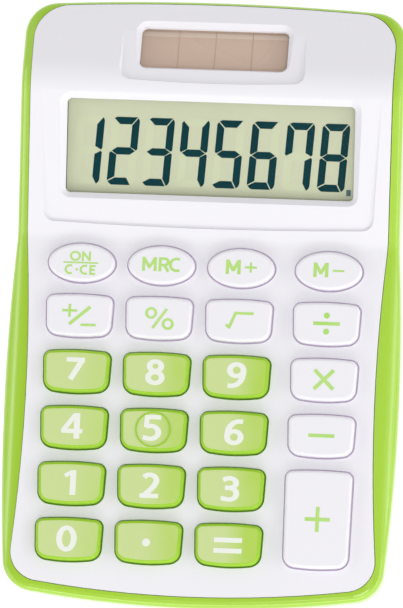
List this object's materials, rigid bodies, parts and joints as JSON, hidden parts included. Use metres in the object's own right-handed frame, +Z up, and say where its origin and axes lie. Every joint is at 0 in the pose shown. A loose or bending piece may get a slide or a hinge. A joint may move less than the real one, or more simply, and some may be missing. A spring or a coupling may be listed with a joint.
{
  "type": "desk calculator",
  "caption": "Desk calculator with a tilted segment display, a solar cell behind it and sprung push keys, in a two-part plastic case.",
  "frame": {"origin": "under the middle of the body, on the surface that its feet stand on", "axes": "+X to the user's right, +Y from the user towards the display end, +Z up out of the keys"},
  "size_m": [0.0786, 0.1206, 0.0164],
  "materials": {
    "white_plastic": "fine satin moulding",
    "green_plastic": "glossy lime moulding",
    "white_key": "satin key cap",
    "green_key": "satin key cap, slightly translucent",
    "clear_window": "clear polished",
    "lcd_glass": "display glass with grey-green polariser",
    "lcd_reflector": "matte reflector film",
    "black_foam": "soft foam",
    "lcd_flex": "printed heat-seal film",
    "solar_cell": "amorphous solar cell on glass",
    "board": "paper phenolic board",
    "carbon": "printed carbon",
    "black_epoxy": "cast epoxy",
    "capacitor_sleeve": "shrunk sleeve",
    "resistor_body": "lacquered body",
    "diode_glass": "glass body",
    "silicone": "moulded silicone",
    "cell_steel": "nickel-plated can",
    "contact_metal": "nickel-plated leaf",
    "screw_steel": "zinc-plated",
    "foot_rubber": "moulded rubber",
    "lead_red": "insulated wire",
    "lead_black": "insulated wire"
  },
  "bodies": {
    "case": {"battery_contact_negative": "contact_metal", "battery_contact_positive": "contact_metal", "battery_cover": "green_plastic", "battery_cover_screw": "screw_steel", "board_screws": "screw_steel", "button_cell": "cell_steel", "case_screws": "screw_steel", "chip_coating": "black_epoxy", "circuit_board": "board", "contact_pads": "carbon", "diodes": "diode_glass", "display_gasket": "black_foam", "display_window": "clear_window", "electrolytic_capacitor": "capacitor_sleeve", "foot_front_left": "foot_rubber", "foot_front_right": "foot_rubber", "foot_rear_left": "foot_rubber", "foot_rear_right": "foot_rubber", "front_housing": "white_plastic", "key_mat": "silicone", "lcd_flex": "lcd_flex", "lcd_glass": "lcd_glass", "lcd_reflector": "lcd_reflector", "rear_housing": "green_plastic", "resistors": "resistor_body", "solar_cell": "solar_cell", "solar_lead_negative": "lead_black", "solar_lead_positive": "lead_red", "solar_window": "clear_window"},
    "key_on_clear_cap": {"key_on_clear": "white_key"},
    "key_memory_recall_cap": {"key_memory_recall": "white_key"},
    "key_memory_plus_cap": {"key_memory_plus": "white_key"},
    "key_memory_minus_cap": {"key_memory_minus": "white_key"},
    "key_sign_cap": {"key_sign": "white_key"},
    "key_percent_cap": {"key_percent": "white_key"},
    "key_root_cap": {"key_root": "white_key"},
    "key_divide_cap": {"key_divide": "white_key"},
    "key_7_cap": {"key_7": "green_key"},
    "key_8_cap": {"key_8": "green_key"},
    "key_9_cap": {"key_9": "green_key"},
    "key_multiply_cap": {"key_multiply": "white_key"},
    "key_4_cap": {"key_4": "green_key"},
    "key_5_cap": {"key_5": "green_key"},
    "key_6_cap": {"key_6": "green_key"},
    "key_minus_cap": {"key_minus": "white_key"},
    "key_1_cap": {"key_1": "green_key"},
    "key_2_cap": {"key_2": "green_key"},
    "key_3_cap": {"key_3": "green_key"},
    "key_0_cap": {"key_0": "green_key"},
    "key_point_cap": {"key_point": "green_key"},
    "key_equals_cap": {"key_equals": "green_key"},
    "key_plus_cap": {"key_plus": "white_key"}
  },
  "joints": [
    {"name": "key_on_clear_press", "type": "slide", "parent": "case", "child": "key_on_clear_cap", "axis": [0, 0, -1], "range_m": [0, 0.0011], "stiffness_N_per_m": 450, "springref_m": -0.0006, "deforming": ["key_mat"]},
    {"name": "key_memory_recall_press", "type": "slide", "parent": "case", "child": "key_memory_recall_cap", "axis": [0, 0, -1], "range_m": [0, 0.0011], "stiffness_N_per_m": 450, "springref_m": -0.0006, "deforming": ["key_mat"]},
    {"name": "key_memory_plus_press", "type": "slide", "parent": "case", "child": "key_memory_plus_cap", "axis": [0, 0, -1], "range_m": [0, 0.0011], "stiffness_N_per_m": 450, "springref_m": -0.0006, "deforming": ["key_mat"]},
    {"name": "key_memory_minus_press", "type": "slide", "parent": "case", "child": "key_memory_minus_cap", "axis": [0, 0, -1], "range_m": [0, 0.0011], "stiffness_N_per_m": 450, "springref_m": -0.0006, "deforming": ["key_mat"]},
    {"name": "key_sign_press", "type": "slide", "parent": "case", "child": "key_sign_cap", "axis": [0, 0, -1], "range_m": [0, 0.0011], "stiffness_N_per_m": 450, "springref_m": -0.0006, "deforming": ["key_mat"]},
    {"name": "key_percent_press", "type": "slide", "parent": "case", "child": "key_percent_cap", "axis": [0, 0, -1], "range_m": [0, 0.0011], "stiffness_N_per_m": 450, "springref_m": -0.0006, "deforming": ["key_mat"]},
    {"name": "key_root_press", "type": "slide", "parent": "case", "child": "key_root_cap", "axis": [0, 0, -1], "range_m": [0, 0.0011], "stiffness_N_per_m": 450, "springref_m": -0.0006, "deforming": ["key_mat"]},
    {"name": "key_divide_press", "type": "slide", "parent": "case", "child": "key_divide_cap", "axis": [0, 0, -1], "range_m": [0, 0.0011], "stiffness_N_per_m": 450, "springref_m": -0.0006, "deforming": ["key_mat"]},
    {"name": "key_7_press", "type": "slide", "parent": "case", "child": "key_7_cap", "axis": [0, 0, -1], "range_m": [0, 0.0011], "stiffness_N_per_m": 450, "springref_m": -0.0006, "deforming": ["key_mat"]},
    {"name": "key_8_press", "type": "slide", "parent": "case", "child": "key_8_cap", "axis": [0, 0, -1], "range_m": [0, 0.0011], "stiffness_N_per_m": 450, "springref_m": -0.0006, "deforming": ["key_mat"]},
    {"name": "key_9_press", "type": "slide", "parent": "case", "child": "key_9_cap", "axis": [0, 0, -1], "range_m": [0, 0.0011], "stiffness_N_per_m": 450, "springref_m": -0.0006, "deforming": ["key_mat"]},
    {"name": "key_multiply_press", "type": "slide", "parent": "case", "child": "key_multiply_cap", "axis": [0, 0, -1], "range_m": [0, 0.0011], "stiffness_N_per_m": 450, "springref_m": -0.0006, "deforming": ["key_mat"]},
    {"name": "key_4_press", "type": "slide", "parent": "case", "child": "key_4_cap", "axis": [0, 0, -1], "range_m": [0, 0.0011], "stiffness_N_per_m": 450, "springref_m": -0.0006, "deforming": ["key_mat"]},
    {"name": "key_5_press", "type": "slide", "parent": "case", "child": "key_5_cap", "axis": [0, 0, -1], "range_m": [0, 0.0011], "stiffness_N_per_m": 450, "springref_m": -0.0006, "deforming": ["key_mat"]},
    {"name": "key_6_press", "type": "slide", "parent": "case", "child": "key_6_cap", "axis": [0, 0, -1], "range_m": [0, 0.0011], "stiffness_N_per_m": 450, "springref_m": -0.0006, "deforming": ["key_mat"]},
    {"name": "key_minus_press", "type": "slide", "parent": "case", "child": "key_minus_cap", "axis": [0, 0, -1], "range_m": [0, 0.0011], "stiffness_N_per_m": 450, "springref_m": -0.0006, "deforming": ["key_mat"]},
    {"name": "key_1_press", "type": "slide", "parent": "case", "child": "key_1_cap", "axis": [0, 0, -1], "range_m": [0, 0.0011], "stiffness_N_per_m": 450, "springref_m": -0.0006, "deforming": ["key_mat"]},
    {"name": "key_2_press", "type": "slide", "parent": "case", "child": "key_2_cap", "axis": [0, 0, -1], "range_m": [0, 0.0011], "stiffness_N_per_m": 450, "springref_m": -0.0006, "deforming": ["key_mat"]},
    {"name": "key_3_press", "type": "slide", "parent": "case", "child": "key_3_cap", "axis": [0, 0, -1], "range_m": [0, 0.0011], "stiffness_N_per_m": 450, "springref_m": -0.0006, "deforming": ["key_mat"]},
    {"name": "key_0_press", "type": "slide", "parent": "case", "child": "key_0_cap", "axis": [0, 0, -1], "range_m": [0, 0.0011], "stiffness_N_per_m": 450, "springref_m": -0.0006, "deforming": ["key_mat"]},
    {"name": "key_point_press", "type": "slide", "parent": "case", "child": "key_point_cap", "axis": [0, 0, -1], "range_m": [0, 0.0011], "stiffness_N_per_m": 450, "springref_m": -0.0006, "deforming": ["key_mat"]},
    {"name": "key_equals_press", "type": "slide", "parent": "case", "child": "key_equals_cap", "axis": [0, 0, -1], "range_m": [0, 0.0011], "stiffness_N_per_m": 450, "springref_m": -0.0006, "deforming": ["key_mat"]},
    {"name": "key_plus_press", "type": "slide", "parent": "case", "child": "key_plus_cap", "axis": [0, 0, -1], "range_m": [0, 0.0011], "stiffness_N_per_m": 450, "springref_m": -0.0006, "deforming": ["key_mat"]}
  ]
}
